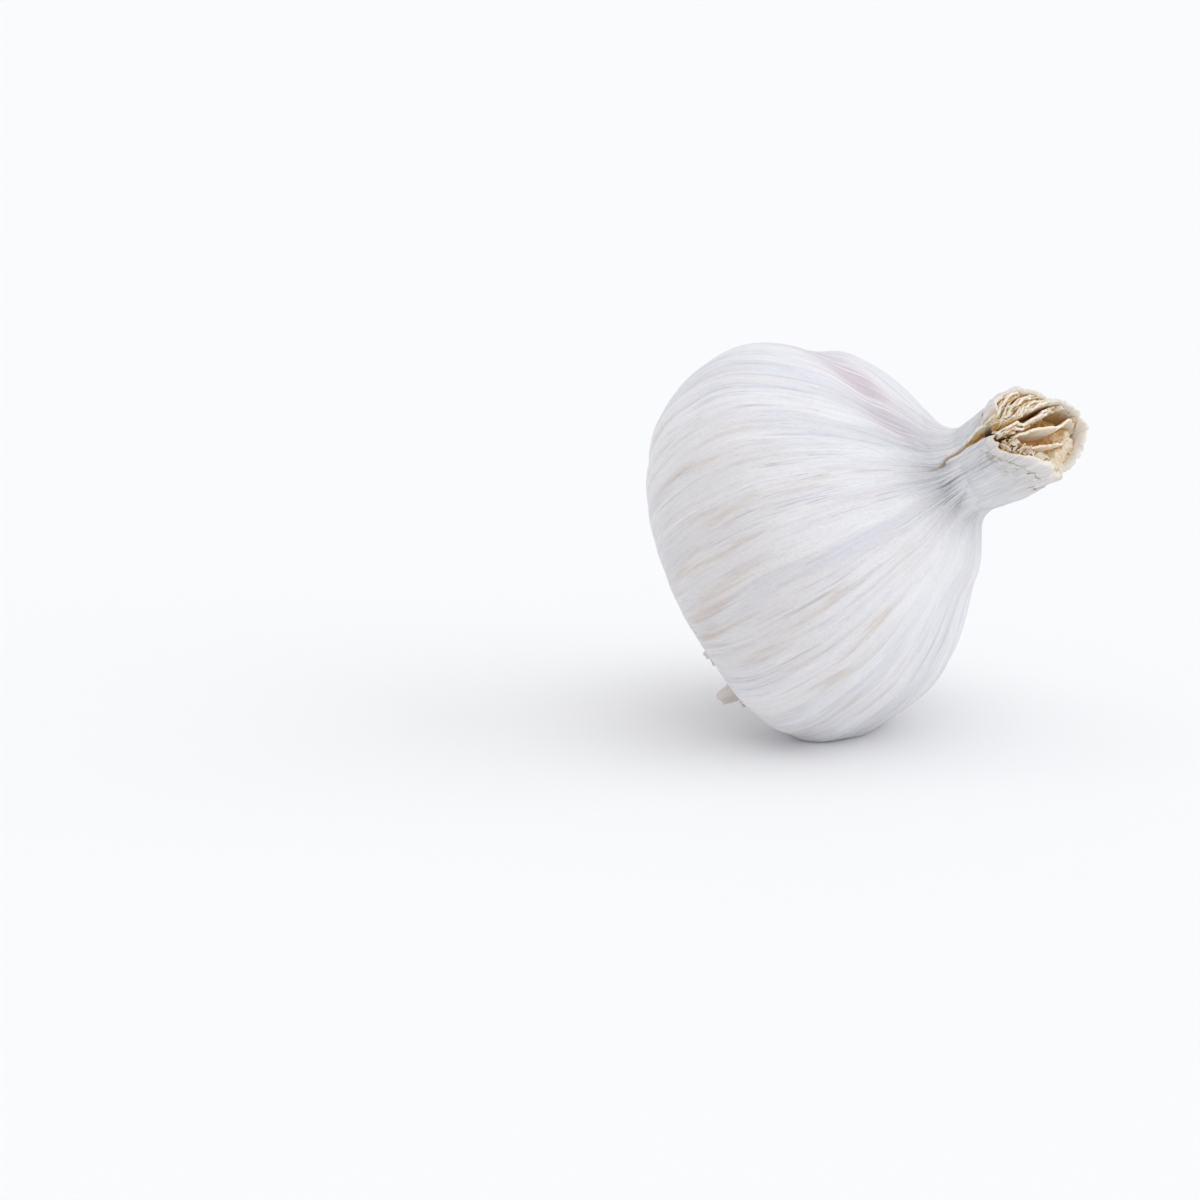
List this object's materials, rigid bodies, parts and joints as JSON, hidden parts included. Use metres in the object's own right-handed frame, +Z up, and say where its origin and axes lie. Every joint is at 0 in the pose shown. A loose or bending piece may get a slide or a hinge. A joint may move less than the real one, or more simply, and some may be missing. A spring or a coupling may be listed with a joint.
{
  "type": "garlic bulb",
  "caption": "Whole garlic bulb in its dry papery skin, lying tilted on one side, with swelling cloves, a pleated neck cut short and a trimmed root end.",
  "frame": {"origin": "middle of the small flat spot that the bulb rests on", "axes": "+Z up, away from the surface; +X the way the neck leans, with the bulb's own axis about 31 degrees above it; -Y the side the picture shows"},
  "size_m": [0.0648, 0.0607, 0.0583],
  "materials": {
    "papery_skin": "dry papery skin, white with faint lilac and tan veins, satin",
    "dry_sheaths": "dried inner leaf sheaths and pith, cream to tan, matte",
    "root_plate": "corky root plate with dry root stubs, matte"
  },
  "bodies": {
    "root": {"bulb": "papery_skin", "neck_sheaths": "dry_sheaths", "root_plate": "root_plate"}
  },
  "joints": []
}
